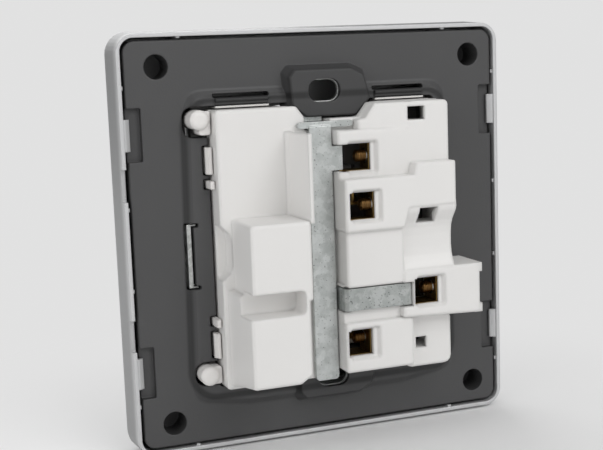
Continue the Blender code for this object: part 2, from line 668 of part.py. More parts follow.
def zone_line(x0, x1, z0, z1, radius=0.5):
    """Outline of one raised zone of the housing."""
    return rounded(x0, x1, z0, z1, radius, 3)


def housing_zones():
    """Raised zones of the housing to the right of the strap."""
    zones = Stock()
    right = HOUSE_RIGHT
    foot = BASE_TOP - 1.0
    top = HOUSE_TOP - 0.05
    upper = [(-5.2, 20.0), (-5.2, 24.2), (-6.9, 24.4), (-9.2, top), (-10.4, top), (-10.4, 20.0)]
    zones.soft_slab(eased(upper, 0.3, 2), foot, 8.42)
    zones.along_z([(-9.6, foot), (-9.6, 8.4), (-10.2, 8.42), (-16.6, 9.2), (-16.6, foot)], 20.0,
                  top - 0.05)
    zones.soft_slab(zone_line(right, -16.0, 18.0, top, 1.0), foot, 9.23)
    zones.soft_slab(zone_line(right, SPLIT_X, 11.0, 22.2), foot, 9.23)
    low = 5.6
    high = [(SPLIT_X, 1.6), (SPLIT_X, 12.4), (-15.9, 12.4), (-16.3, 14.9), (right + 0.1, 14.9),
            (right + 0.1, low), (-14.6, low), (-13.4, 1.6)]
    zones.soft_slab(eased(high, 0.5, 3), foot, 12.38)
    zones.soft_slab(zone_line(-13.6, -0.6, -10.2, 2.2, 0.8), foot, 11.2)
    scoop = [(foot, low + 1), (12.1, low + 1), (12.2, low - 0.3), (11.9, low - 1.1), (11.2, low - 2.1),
             (10.3, low - 3.3), (9.75, low - 4.6), (9.5, low - 6.2), (9.5, -3.2), (9.75, -4.9),
             (10.3, -6.4), (11.0, -7.6), (11.0, -8.6), (foot, -8.6)]
    zones.along_x(scoop, right + 0.1, -13.0)
    block = [(-13.1, -7.6), (-31.2, -7.6), (-31.2, -18.3), (-13.1, -17.6)]
    zones.soft_slab(eased(block, 0.4, 2), OVERHANG, 11.57)
    for z0, z1 in ((-9.5, -7.6), (-18.3, -16.4)):
        zones.block(-31.8, -30.0, OVERHANG, 11.3, z0, z1)
    zones.block(-14.0, SPLIT_X, foot, 9.5, -18.2, -9.5)
    zones.soft_slab(zone_line(-15.6, SPLIT_X, -28.2, -17.7), 3.7, 10.75)
    zones.soft_slab(zone_line(HOUSE_RIGHT - 0.5, -15.0, -29.6, -18.0, 1.6), HOUSE_FOOT, 7.71)
    return zones


def tall_blocks():
    """Tall chamber over the earth pin and the switch, and the barrier wall above it."""
    made = Stock()
    foot = BASE_TOP - 1.0
    upper = zone_line(9.3, 21.9, -10.5, 5.5, 0.6)
    made.soft_slab(upper, foot, TALL_TOP)
    low = [(10.0, -9.0), (22.4, -9.0), (22.4, -27.2), (12.5, -27.2), (10.0, -25.6)]
    wide = [(10.0, -9.0), (23.5, -9.0), (23.5, -29.2), (12.0, -29.2), (10.0, -27.4)]
    made.loft((foot, eased(wide, 0.6)), (11.0, eased([(x * 0.4 + a * 0.6, z * 0.4 + b * 0.6)
              for (x, z), (a, b) in zip(wide, low)], 0.6)),
              (TALL_TOP - 0.35, eased(low, 0.6)), (TALL_TOP, grown(eased(low, 0.6), -0.35)))
    made.along_z([(9.4, TALL_TOP), (8.55, TALL_TOP), (8.4, foot), (10.0, foot), (9.9, BASE_TOP + 0.4),
                  (9.5, BASE_TOP + 1.6)], 5.0, 22.6)
    return made


def housing_cuts():
    """Chambers, groove, link channel and small windows of the housing."""
    cuts = Stock()
    groove = rounded(10.9, 26.0, -13.1, -8.2, 1.1, 4)
    cuts.slab(groove, 11.26, TALL_TOP + 1)
    scallop = [(26.0, 6.0), (24.3, 4.4), (22.6, 2.6), (22.2, 0.7), (22.2, -3.9), (22.6, -5.6),
               (24.3, -7.1), (26.0, -8.7)]
    cuts.slab(scallop, HOUSE_FOOT + 1.0, BASE_TOP + 0.01)
    cuts.block(11.0, 21.3, -1, TALL_TOP - 1.2, -26.3, -14.2)
    cuts.block(10.5, 20.7, -1, TALL_TOP - 1.2, -7.0, 4.2)
    for side in (-1, 1):
        z = PIN_CENTRE + side * PIN_PITCH
        ends = sorted((z - side * 4.3, z + side * 2.3))
        cuts.block(LIVE_X - 3.2, LIVE_X + 3.2, -1, 6.65, *ends)
    cuts.block(-1.9, SPLIT_X + 1, BASE_TOP, 12, -15.4, -10.1)
    cuts.block(-15.4, -1.0, 9.5, 13, -15.4, -10.1)
    cuts.block(-2.4, SPLIT_X + 1, BASE_TOP, 10, 13.7, 19.4)
    cuts.block(1.2, 4.4, 0, BASE_TOP + 1, -2.3, 2.3)
    for x, z, w, h in ((-18.0, 25.0, 1.95, 1.4), (-19.0, 3.75, 2.1, 1.65), (-18.7, -24.3, 1.25, 1.2)):
        cuts.block(x - w, x + w, -1, TALL_TOP, z - h, z + h)
    cuts.block(SPLIT_X - 0.1, 5.5, -1, BASE_TOP + 2, 22.5, 25.5)
    for sign in (-1, 1):
        cuts.slab(tab_foot(sign, FIT), -1, TAB_TOP + FIT)
    return cuts


def rear_housing(look):
    """Rear moulding with its terminal wells, tall chamber and barrier."""
    left, right, top, bottom = HOUSE_LEFT, HOUSE_RIGHT, HOUSE_TOP, HOUSE_BOTTOM
    line = [(left, bottom), (left, top), (7.1, top), (4.9, 24.6), (-6.9, 24.6), (-9.2, top),
            (right, top), (right, -29.6), (-9.0, -29.6), (-8.4, -28.2), (0.6, -28.2), (1.4, bottom)]
    base = Stock().soft_slab(eased(line, 0.7, 2), HOUSE_FOOT, BASE_TOP, 0.3)
    hollow_line = [(left - 1.3, -28.4), (left - 1.3, top - 1.3), (9.9, top - 1.3), (6.4, 22.4),
                   (-9.0, 23.3), (-13.2, top - 1.3), (right + 1.3, top - 1.3), (right + 1.3, -28.2),
                   (-13.2, -28.2), (-12.6, -23.2), (9.3, -23.2), (10.0, -28.4)]
    hollow = Stock().slab(hollow_line, -1, BASE_TOP - 1.2)
    keep = Stock()
    keep.slab([(23.2, 5.6), (20.6, 3.4), (20.6, -5.9), (23.2, -8.3)], HOUSE_FOOT, BASE_TOP - 1.0)
    cuts = housing_cuts()
    for terminal in terminals():
        roof = {"earth_clamp_upper": 9.23, "neutral_clamp": 12.38, "earth_clamp_side": 11.57,
                "line_clamp": 10.75}[terminal.name]
        terminal.wells(cuts, roof)
    more = tall_blocks()
    return part("rear_housing", look, base, ("DIFFERENCE", hollow), ("UNION", more),
                ("UNION", housing_zones()), ("UNION", keep), ("DIFFERENCE", cuts))


def earth_strap(look):
    """Spangled steel strap over the housing, its head bent down to the upper ear."""
    y0, y1 = BASE_TOP + FIT, 6.7
    x0, x1 = SPLIT_X + FIT, SPLIT_X + 5.4
    tail = arc(x0 + 0.8, -29.3, 0.8, 180, 270, 4) + arc(x1 - 0.8, -29.3, 0.8, 270, 360, 4)
    base = Stock().slab([(x0, 21.8)] + tail + [(x1, 21.8)], y0, y1)
    more = Stock().block(-1.55, x0 + 0.5, y0, y1, 14.0, 19.1)
    ear = TAB_TOP - TAB_SKIN - FIT
    bend = [(y0, 21.0), (y1, 21.0), (y1, 23.2), (y1 - 0.7, 23.9), (ear + 0.3, 23.9), (ear, 24.2),
            (ear, 26.1), (ear - STEEL_T, 26.1), (ear - STEEL_T, 23.3), (ear, 22.8), (y0 - 0.2, 22.8),
            (y0, 22.5)]
    more.along_x(bend, x0, x1 - 0.3)
    more.slab(rounded(-4.9, 7.4, 22.9, 24.2, 0.6, 3), y0, y1 - 0.3)
    return part("earth_strap", look, base, ("UNION", more))


def link_strip(look):
    """Bridge from the strap to the side earth clamp."""
    top = 10.75
    end = SPLIT_X - 0.05
    profile = [(-15.25, top), (end - 0.7, top), (end, top - 0.7), (end, BASE_TOP + FIT),
               (end - 0.9, BASE_TOP + FIT), (end - 0.9, top - 0.95), (-15.25, top - 0.95)]
    obj = Stock().along_z(profile, -15.05, -10.4).place("link_strip")
    obj.data.materials.append(look)
    return obj


def earth_contact(look):
    """Forked contact for the earth pin with its tail under the strap."""
    x = EARTH_X
    arm = EARTH_PIN[0] / 2 + 0.2
    end = FACE_Y + EARTH_PIN[2] + 0.5
    fork = [(x - arm - 0.8, -1.4), (x - arm - 0.3, -1.4), (x - arm, 1.0), (x - arm, end),
            (x + arm, end), (x + arm, 1.0), (x + arm + 0.3, -1.4), (x + arm + 0.8, -1.4),
            (x + arm + 0.8, end + 0.4), (x + arm + 0.4, end + 0.8), (x - arm - 0.4, end + 0.8),
            (x - arm - 0.8, end + 0.4)]
    base = Stock().along_z(fork, PIN_CENTRE - 3.4, PIN_CENTRE + 3.4)
    tail = [(x - arm - 0.5, 1.0), (x - arm - 0.5, 1.8), (4.1, 1.8), (4.1, BASE_TOP), (1.6, BASE_TOP),
            (1.6, 4.6), (3.3, 4.6), (3.3, 1.0)]
    return part("earth_contact", look, base, ("UNION", Stock().along_z(tail, -2.0, 2.0)))


def pin_fork(side):
    """Channel that grips a flat pin, open away from the centre line."""
    arm = LIVE_PIN[0] / 2 + 0.2
    x, z, end = LIVE_X, PIN_CENTRE + side * PIN_PITCH, FACE_Y + LIVE_PIN[2] - 0.35
    far = z - side * (LIVE_PIN[1] / 2 + 0.8)
    near = z + side * 1.8
    line = [(x - arm - 0.6, near), (x - arm - 0.6, far), (x + arm + 0.6, far), (x + arm + 0.6, near),
            (x + arm, near), (x + arm, far + side * 0.6), (x - arm, far + side * 0.6),
            (x - arm, near)]
    return Stock().slab(line, -1.4, end)


def neutral_contact(look):
    """Contact for the neutral pin, its tongue rising under the neutral clamp."""
    arm = LIVE_X + LIVE_PIN[0] / 2 + 0.2
    tongue = Stock().block(arm + 0.05, arm + 0.55, 5.0, 6.9, 7.4, 9.4)
    return part("neutral_contact", look, pin_fork(1), ("UNION", tongue))


def line_contact(look):
    """Contact for the line pin, carried on to the bracket of the see-saw."""
    x, z = SWITCH_X, SWITCH_Z
    more = Stock().block(LIVE_X + 2.3, 12.2, 0.9, 1.6, -14.2, -12.4)
    more.block(10.2, 12.2, 0.9, 1.6, z - 5.4, -12.4)
    for z0 in (z + 4.0, z - 5.4):
        ear = [(10.2, 0.9), (x + 1.8, 0.9), (x + 1.8, SEESAW_Y + 0.6), (x + 1.2, SEESAW_Y + 1.2),
               (x - 1.2, SEESAW_Y + 1.2), (x - 1.8, SEESAW_Y + 0.6), (x - 1.8, 1.6), (10.2, 1.6)]
        more.along_z(ear, z0, z0 + 0.6)
    hole = Stock().rod("z", (x, SEESAW_Y), 0.75, z - 6, z + 6, 16)
    return part("line_contact", look, pin_fork(-1), ("UNION", more),
                ("DIFFERENCE", hole))


def moving_contact(look):
    """See-saw strip with its pivot and contact stud, tilted to the open side."""
    x, y, z = SWITCH_X, SEESAW_Y, SWITCH_Z
    base = Stock().along_z([(x - 4.6, y - 0.4), (x + 4.6, y - 0.4), (x + 4.6, y + 0.4),
                            (x - 4.6, y + 0.4)], z - 2.6, z + 2.6)
    more = Stock().rod("z", (x, y), 0.6, z - 5.3, z + 4.6, 16)
    more.rod("y", (x + 3.7, z), 1.2, y, y + 0.9, 20)
    for stock in (base, more):
        stock.turned(x, y, -SEESAW_THROW / 2)
    return part("moving_contact", look, base, ("UNION", more), origin=(x, y, z))


def fixed_contact(look):
    """Strip from the line clamp to the stud that the see-saw closes on."""
    edge = SWITCH_Z - 2.6 - FIT
    base = Stock().block(-6.0, 10.0, 2.0, 2.7, edge, edge + 1.9)
    more = Stock().block(9.6, 21.1, 2.0, 2.7, edge - 1.0, edge + 0.02)
    more.block(19.1, 21.1, 2.0, 7.8, edge - 0.8, edge)
    more.block(18.9, 21.1, 7.1, 7.8, edge - 0.8, SWITCH_Z + 1.4)
    more.rod("y", (SWITCH_X + 3.9, SWITCH_Z), 1.0, 6.65, 7.4, 20)
    return part("fixed_contact", look, base, ("UNION", more))


def build():
    """Clear the scene and make every piece."""
    for old in list(bpy.data.objects):
        bpy.data.objects.remove(old)
    white = finish("white_moulding", (0.80, 0.80, 0.79), 0.42, 0.0)
    grey = finish("grey_trim", (0.45, 0.45, 0.45), 0.38, 0.0)
    dark = finish("dark_plate", (0.085, 0.085, 0.087), 0.5, 0.0)
    face = finish("front_face", (0.62, 0.62, 0.61), 0.35, 0.0)
    steel = finish("zinc_steel", (0.55, 0.56, 0.55), 0.36, 1.0)
    brass = finish("brass", (0.72, 0.55, 0.27), 0.32, 1.0)
    outer_frame(grey)
    mounting_plate(dark)
    steel_support(steel)
    front_cover(face)
    rocker(face)
    plunger(white)
    springs(steel)
    shutter(white)
    module_body(white)
    rear_housing(white)
    earth_strap(steel)
    link_strip(steel)
    earth_contact(brass)
    neutral_contact(brass)
    line_contact(brass)
    moving_contact(brass)
    fixed_contact(brass)
    for terminal in terminals():
        terminal.clamp(brass)
        terminal.drive(steel)


build()
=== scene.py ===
"""Looks of the switched wall socket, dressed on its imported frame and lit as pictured.

The socket stands on its edge on a pale floor and shows its back: a light grey trim
frame, a dark plate, a white housing with four wire clamps, and a spangled earth strap.
"""
from __future__ import annotations

import logging
import math
from dataclasses import dataclass
from enum import Enum
from typing import Iterable, Sequence

import bmesh
import bpy
from mathutils import Matrix, Vector

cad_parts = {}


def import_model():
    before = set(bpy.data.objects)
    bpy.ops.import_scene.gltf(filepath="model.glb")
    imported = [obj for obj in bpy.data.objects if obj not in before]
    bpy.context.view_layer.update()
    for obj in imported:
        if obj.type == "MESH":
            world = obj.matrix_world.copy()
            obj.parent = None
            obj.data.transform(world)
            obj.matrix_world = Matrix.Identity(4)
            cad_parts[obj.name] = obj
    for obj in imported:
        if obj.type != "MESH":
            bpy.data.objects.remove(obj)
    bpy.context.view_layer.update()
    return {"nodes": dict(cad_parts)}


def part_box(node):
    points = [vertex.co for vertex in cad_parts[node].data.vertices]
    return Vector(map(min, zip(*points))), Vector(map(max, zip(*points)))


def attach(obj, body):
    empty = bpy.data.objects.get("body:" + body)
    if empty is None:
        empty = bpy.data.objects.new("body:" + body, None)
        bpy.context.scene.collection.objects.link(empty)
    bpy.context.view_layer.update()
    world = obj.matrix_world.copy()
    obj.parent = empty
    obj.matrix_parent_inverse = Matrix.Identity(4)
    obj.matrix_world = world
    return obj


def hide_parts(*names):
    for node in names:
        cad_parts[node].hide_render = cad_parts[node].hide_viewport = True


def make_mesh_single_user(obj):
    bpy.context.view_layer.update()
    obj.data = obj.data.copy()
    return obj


LOG = logging.getLogger("wall_socket")
MM = 0.001
Colour = tuple[float, float, float]
Box = tuple[float, float, float, float, float, float]
MERGE = 0.002 * MM
BUMP_DEPTH = 0.0002
SCREWS = ("earth_screw_upper", "neutral_screw", "earth_screw_side", "line_screw")


class Output(Enum):
    """Kinds of value that a shared effect gives back."""

    VALUE = "NodeSocketFloat"


class Pattern(Enum):
    """Surface patterns that a finish may carry."""

    MOULDED = "moulded surface"
    SPANGLED = "spangled zinc"
    ROLLED = "rolled metal"


class NodeSheet:
    """Small helper that adds and links nodes in one tree."""

    def __init__(self, tree: bpy.types.NodeTree) -> None:
        """Keep the tree.

        Args:
            tree: Shader or geometry tree to fill.
        """
        self.tree = tree

    def add(self, kind: str, **values: object) -> bpy.types.Node:
        """Add a node.

        Args:
            kind: Blender's type name of the node.
            **values: Attributes to set on it.

        Returns:
            The new node.
        """
        node = self.tree.nodes.new(kind)
        for key, value in values.items():
            setattr(node, key, value)
        return node

    def link(self, source: bpy.types.NodeSocket, target: bpy.types.NodeSocket) -> None:
        """Join two sockets."""
        self.tree.links.new(source, target)

    def feed(self, socket: bpy.types.NodeSocket, given: object) -> None:
        """Give a socket a number, or join another socket to it.

        Args:
            socket: The socket to feed.
            given: A number or a socket.
        """
        if isinstance(given, (int, float)):
            socket.default_value = given
        else:
            self.link(given, socket)

    def noise(self, vector: bpy.types.NodeSocket, scale: object, detail: float,
              roughness: float = 0.5) -> bpy.types.Node:
        """Add a noise texture.

        Args:
            vector: Socket of the place.
            scale: Number or socket of the scale.
            detail: Octaves.
            roughness: Weight of the finer octaves.

        Returns:
            The noise node.
        """
        node = self.add("ShaderNodeTexNoise")
        node.inputs["Detail"].default_value = detail
        node.inputs["Roughness"].default_value = roughness
        self.link(vector, node.inputs["Vector"])
        self.feed(node.inputs["Scale"], scale)
        return node

    def span(self, value: bpy.types.NodeSocket, source: tuple[float, float],
             target: tuple[float, float], smooth: bool = False) -> bpy.types.NodeSocket:
        """Map a value from one range to another.

        Args:
            value: Socket to map.
            source: Range that it comes from.
            target: Range that it goes to.
            smooth: Whether the ends are eased.

        Returns:
            The result socket.
        """
        node = self.add("ShaderNodeMapRange",
                        interpolation_type="SMOOTHSTEP" if smooth else "LINEAR")
        for title, number in zip(("From Min", "From Max", "To Min", "To Max"),
                                 (*source, *target)):
            node.inputs[title].default_value = number
        self.link(value, node.inputs["Value"])
        return node.outputs[0]

    def axes(self, output: str) -> bpy.types.NodeOutputs:
        """Split a texture coordinate into its three axes.

        Args:
            output: Which coordinate is split.

        Returns:
            The X, Y and Z sockets.
        """
        place, split = self.add("ShaderNodeTexCoord"), self.add("ShaderNodeSeparateXYZ")
        self.link(place.outputs[output], split.inputs[0])
        return split.outputs

    def math(self, operation: str, a: object, b: object) -> bpy.types.NodeSocket:
        """Add a Math node.

        Args:
            operation: Name of the operation.
            a: First socket or number.
            b: Second socket or number.

        Returns:
            The result socket.
        """
        node = self.add("ShaderNodeMath", operation=operation)
        for socket, given in zip(node.inputs, (a, b)):
            self.feed(socket, given)
        return node.outputs[0]

    def ramp(self, source: bpy.types.NodeSocket,
             stops: Sequence[tuple[float, Colour]]) -> bpy.types.NodeSocket:
        """Add a colour ramp.

        Args:
            source: Factor socket.
            stops: Positions and colours in order.

        Returns:
            The colour socket.
        """
        node = self.add("ShaderNodeValToRGB")
        self.link(source, node.inputs[0])
        elements = node.color_ramp.elements
        while len(elements) < len(stops):
            elements.new(0.5)
        for element, (place, colour) in zip(elements, stops):
            element.position = place
            element.color = (*colour, 1.0)
        return node.outputs[0]


def open_group(name: str, inputs: dict[str, float],
               outputs: dict[str, Output]) -> tuple[bpy.types.NodeTree, NodeSheet,
                                                    bpy.types.Node, bpy.types.Node]:
    """Start a shader node group.

    Args:
        name: Name of the group.
        inputs: Number inputs and their starting values.
        outputs: Outputs and what each one carries.

    Returns:
        The tree, its sheet, and its input and output nodes.
    """
    tree = bpy.data.node_groups.new(name, "ShaderNodeTree")
    for title, value in inputs.items():
        socket = tree.interface.new_socket(title, in_out="INPUT", socket_type="NodeSocketFloat")
        socket.default_value = value
    for title, kind in outputs.items():
        tree.interface.new_socket(title, in_out="OUTPUT", socket_type=kind.value)
    sheet = NodeSheet(tree)
    return tree, sheet, sheet.add("NodeGroupInput"), sheet.add("NodeGroupOutput")


class Effects:
    """Shared surface effects, each built once as a node group."""

    def __init__(self) -> None:
        """Build the groups."""
        self.mottle = self._mottle()
        self.grain = self._grain()
        self.spangle = self._spangle()
        self.brushing = self._brushing()

    @staticmethod
    def _mottle() -> bpy.types.NodeTree:
        """Slow light and dark drift, as flow and handling leave on a moulding."""
        tree, sheet, start, end = open_group(
            "flow_mottle", {"Scale": 60.0, "Amount": 0.05}, {"Tone": Output.VALUE})
        place = sheet.add("ShaderNodeTexCoord")
        coarse = sheet.noise(place.outputs["Object"], start.outputs["Scale"], 3.0)
        centred = sheet.math("SUBTRACT", coarse.outputs[0], 0.5)
        scaled = sheet.math("MULTIPLY", centred, start.outputs["Amount"])
        sheet.link(sheet.math("ADD", scaled, 1.0), end.inputs["Tone"])
        return tree

    @staticmethod
    def _grain() -> bpy.types.NodeTree:
        """Fine spark-eroded grain, given as a height."""
        tree, sheet, start, end = open_group(
            "mould_grain", {"Scale": 2600.0}, {"Height": Output.VALUE})
        place = sheet.add("ShaderNodeTexCoord")
        fine = sheet.noise(place.outputs["Object"], start.outputs["Scale"], 2.0, 0.6)
        sheet.link(fine.outputs[0], end.inputs["Height"])
        return tree

    @staticmethod
    def _spangle() -> bpy.types.NodeTree:
        """Crystals of hot-dip zinc: a tone for each crystal and a softened edge."""
        tree, sheet, start, end = open_group(
            "zinc_spangle", {"Scale": 700.0, "Specks": 0.66},
            {"Tone": Output.VALUE, "Speck": Output.VALUE})
        place = sheet.add("ShaderNodeTexCoord")
        warp = sheet.noise(place.outputs["Object"], 1300.0, 4.0)
        bend = sheet.add("ShaderNodeVectorMath", operation="MULTIPLY_ADD")
        bend.inputs[1].default_value = (0.0016, 0.0016, 0.0016)
        sheet.link(warp.outputs[1], bend.inputs[0])
        sheet.link(place.outputs["Object"], bend.inputs[2])
        cells = sheet.add("ShaderNodeTexVoronoi", feature="SMOOTH_F1")
        cells.inputs["Smoothness"].default_value = 0.35
        sheet.link(bend.outputs[0], cells.inputs["Vector"])
        sheet.link(start.outputs["Scale"], cells.inputs["Scale"])
        grey = sheet.add("ShaderNodeSeparateColor")
        sheet.link(cells.outputs["Color"], grey.inputs[0])
        cloud = sheet.noise(place.outputs["Object"], 420.0, 6.0, 0.72)
        crystal = sheet.math("MULTIPLY", grey.outputs[0], 0.3)
        sheet.link(sheet.math("ADD", crystal, sheet.math("MULTIPLY", cloud.outputs[0], 0.7)),
                   end.inputs["Tone"])
        dots = sheet.noise(place.outputs["Object"], 2100.0, 1.0)
        over = sheet.math("SUBTRACT", dots.outputs[0], start.outputs["Specks"])
        sheet.link(sheet.math("MINIMUM", sheet.math("MAXIMUM", sheet.math("MULTIPLY", over, 14.0),
                                                    0.0), 1.0), end.inputs["Speck"])
        return tree

    @staticmethod
    def _brushing() -> bpy.types.NodeTree:
        """Long scratches along one axis, for rolled strip and turned parts."""
        tree, sheet, start, end = open_group(
            "rolling_marks", {"Along": 40.0, "Across": 2200.0}, {"Mark": Output.VALUE})
        place = sheet.add("ShaderNodeTexCoord")
        stretch = sheet.add("ShaderNodeVectorMath", operation="MULTIPLY")
        scale = sheet.add("ShaderNodeCombineXYZ")
        sheet.link(start.outputs["Across"], scale.inputs[0])
        sheet.link(start.outputs["Across"], scale.inputs[1])
        sheet.link(start.outputs["Along"], scale.inputs[2])
        sheet.link(place.outputs["Object"], stretch.inputs[0])
        sheet.link(scale.outputs[0], stretch.inputs[1])
        lines = sheet.noise(stretch.outputs[0], 1.0, 3.0)
        sheet.link(lines.outputs[0], end.inputs["Mark"])
        return tree


@dataclass(frozen=True)
class Finish:
    """One finish of the socket: its colour, its pattern and how it shines."""

    name: str
    colour: Colour
    roughness: float
    metallic: float = 0.0
    pattern: Pattern = Pattern.MOULDED
    drift: float = 0.06
    grain: float = 2600.0
    relief: float = 0.08
    edge_mm: float = 0.3
    second: Colour = (0.5, 0.5, 0.5)
    gloss: float = 0.5
    # Painted light and shade: tone multipliers by height in Y, by slope away from Y, and along a
    # band round the module.
    painted_light_tone: float = 1.0
    painted_light_mm: float = 1.8
    painted_light_span_mm: float = 1.0
    painted_slope_shade: float = 1.0
    painted_band_shade: float = 1.0

    def material(self, effects: Effects) -> bpy.types.Material:
        """Build the material.

        Args:
            effects: The shared effect groups.

        Returns:
            The finished material.
        """
        made = bpy.data.materials.new(self.name)
        made.use_nodes = True
        sheet = NodeSheet(made.node_tree)
        shader = made.node_tree.nodes["Principled BSDF"]
        shader.inputs["Roughness"].default_value = self.roughness
        shader.inputs["Metallic"].default_value = self.metallic
        shader.inputs["Specular IOR Level"].default_value = self.gloss
        if self.pattern is Pattern.SPANGLED:
            height = self._spangled(sheet, shader, effects)
        elif self.pattern is Pattern.ROLLED:
            height = self._rolled(sheet, shader, effects)
        else:
            height = self._moulded(sheet, shader, effects)
        edge = sheet.add("ShaderNodeBevel", samples=6)
        edge.inputs["Radius"].default_value = self.edge_mm * MM
        bump = sheet.add("ShaderNodeBump")
        bump.inputs["Strength"].default_value = self.relief
        bump.inputs["Distance"].default_value = BUMP_DEPTH
        sheet.link(height, bump.inputs["Height"])
        sheet.link(edge.outputs[0], bump.inputs["Normal"])
        sheet.link(bump.outputs[0], shader.inputs["Normal"])
        return made

    def _moulded(self, sheet: NodeSheet, shader: bpy.types.Node,
                 effects: Effects) -> bpy.types.NodeSocket:
        """Plastic: slow drift of tone, fine grain, and painted light and shade where the finish
        sets it.

        Args:
            sheet: The material's nodes.
            shader: The Principled shader.
            effects: Shared groups.

        Returns:
            The height socket for the relief.
        """
        drift = sheet.add("ShaderNodeGroup", node_tree=effects.mottle)
        drift.inputs["Amount"].default_value = self.drift
        tint = sheet.add("ShaderNodeVectorMath", operation="SCALE")
        tint.inputs[0].default_value = self.colour
        tone = drift.outputs["Tone"]
        # Painted light and shade laid over the moulding's colour.
        if self.painted_light_tone != 1.0:
            tone = sheet.math("MULTIPLY", tone, self._paint_light_by_height(sheet))
        if self.painted_slope_shade != 1.0:
            tone = sheet.math("MULTIPLY", tone, self._paint_slope_shade(sheet))
        if self.painted_band_shade != 1.0:
            tone = sheet.math("MULTIPLY", tone, self._paint_band_shade(sheet))
        sheet.link(tone, tint.inputs["Scale"])
        sheet.link(tint.outputs[0], shader.inputs["Base Color"])
        grain = sheet.add("ShaderNodeGroup", node_tree=effects.grain)
        grain.inputs["Scale"].default_value = self.grain
        rough = sheet.span(grain.outputs["Height"], (0.0, 1.0),
                           (self.roughness - 0.05, self.roughness + 0.05))
        sheet.link(rough, shader.inputs["Roughness"])
        return grain.outputs["Height"]

    def _paint_light_by_height(self, sheet: NodeSheet) -> bpy.types.NodeSocket:
        """Painted light and shade by height: a tone multiplier that changes along Y.

        Args:
            sheet: The material's nodes.

        Returns:
            Multiplier socket: one below the span, the painted light tone above it.
        """
        low = (self.painted_light_mm - self.painted_light_span_mm / 2) * MM
        high = (self.painted_light_mm + self.painted_light_span_mm / 2) * MM
        return sheet.span(sheet.axes("Object")["Y"], (low, high), (1.0, self.painted_light_tone), True)

    def _paint_slope_shade(self, sheet: NodeSheet) -> bpy.types.NodeSocket:
        """Painted shade on the slopes round the raised band, darker than the flats.

        Args:
            sheet: The material's nodes.

        Returns:
            Multiplier socket: one on the flats, the painted slope shade on steep faces.
        """
        flat, steep = 0.97, 0.75
        facing = sheet.math("ABSOLUTE", sheet.axes("Normal")["Y"], 0.0)
        return sheet.span(facing, (flat, steep), (1.0, self.painted_slope_shade), True)

    def _paint_band_shade(self, sheet: NodeSheet) -> bpy.types.NodeSocket:
        """Painted shade: the soft dark line that runs round the module.

        Args:
            sheet: The material's nodes.

        Returns:
            Multiplier socket: one away from the line, the painted band shade on it.
        """
        radius, middle, half_z, width = 5.5, -1.3, 30.9, 1.1
        half_x, taper, core = 29.9, 0.0164, 0.25
        axes = sheet.axes("Object")
        x = sheet.math("ABSOLUTE", sheet.math("DIVIDE", axes["X"], MM), 0.0)
        z = sheet.math("DIVIDE", axes["Z"], MM)
        lean = sheet.math("MULTIPLY", z, taper)
        aside = sheet.math("SUBTRACT", sheet.math("ADD", x, lean), half_x - radius)
        above = sheet.math("SUBTRACT", sheet.math("ABSOLUTE", sheet.math("SUBTRACT", z, middle),
                                                  0.0), half_z - radius)
        a, b = sheet.math("MAXIMUM", aside, 0.0), sheet.math("MAXIMUM", above, 0.0)
        far = sheet.math("SQRT", sheet.math("ADD", sheet.math("MULTIPLY", a, a),
                                            sheet.math("MULTIPLY", b, b)), 0.0)
        inner = sheet.math("MINIMUM", sheet.math("MAXIMUM", aside, above), 0.0)
        off = sheet.math("ABSOLUTE", sheet.math("SUBTRACT", sheet.math("ADD", far, inner),
                                                radius), 0.0)
        return sheet.span(off, (core, width), (self.painted_band_shade, 1.0), True)

    def _spangled(self, sheet: NodeSheet, shader: bpy.types.Node,
                  effects: Effects) -> bpy.types.NodeSocket:
        """Zinc-coated strip: crystals that differ in tone and gloss.

        Args:
            sheet: The material's nodes.
            shader: The Principled shader.
            effects: Shared groups.

        Returns:
            The height socket for the relief.
        """
        zinc = sheet.add("ShaderNodeGroup", node_tree=effects.spangle)
        zinc.inputs["Scale"].default_value = self.grain
        tone = zinc.outputs["Tone"]
        colour = sheet.ramp(tone, ((0.36, self.second), (0.64, self.colour)))
        dark = sheet.math("SUBTRACT", 1.0, sheet.math("MULTIPLY", zinc.outputs["Speck"], 0.55))
        spotted = sheet.add("ShaderNodeVectorMath", operation="SCALE")
        sheet.link(colour, spotted.inputs[0])
        sheet.link(dark, spotted.inputs["Scale"])
        sheet.link(spotted.outputs[0], shader.inputs["Base Color"])
        rough = sheet.span(tone, (0.3, 0.7), (self.roughness + 0.12, self.roughness - 0.06))
        sheet.link(rough, shader.inputs["Roughness"])
        return tone

    def _rolled(self, sheet: NodeSheet, shader: bpy.types.Node,
                effects: Effects) -> bpy.types.NodeSocket:
        """Rolled or turned metal: fine marks along the strip.

        Args:
            sheet: The material's nodes.
            shader: The Principled shader.
            effects: Shared groups.

        Returns:
            The height socket for the relief.
        """
        marks = sheet.add("ShaderNodeGroup", node_tree=effects.brushing)
        colour = sheet.ramp(marks.outputs["Mark"], ((0.3, self.second), (0.7, self.colour)))
        sheet.link(colour, shader.inputs["Base Color"])
        rough = sheet.span(marks.outputs["Mark"], (0.0, 1.0),
                           (self.roughness + 0.08, self.roughness - 0.08))
        sheet.link(rough, shader.inputs["Roughness"])
        return marks.outputs["Mark"]


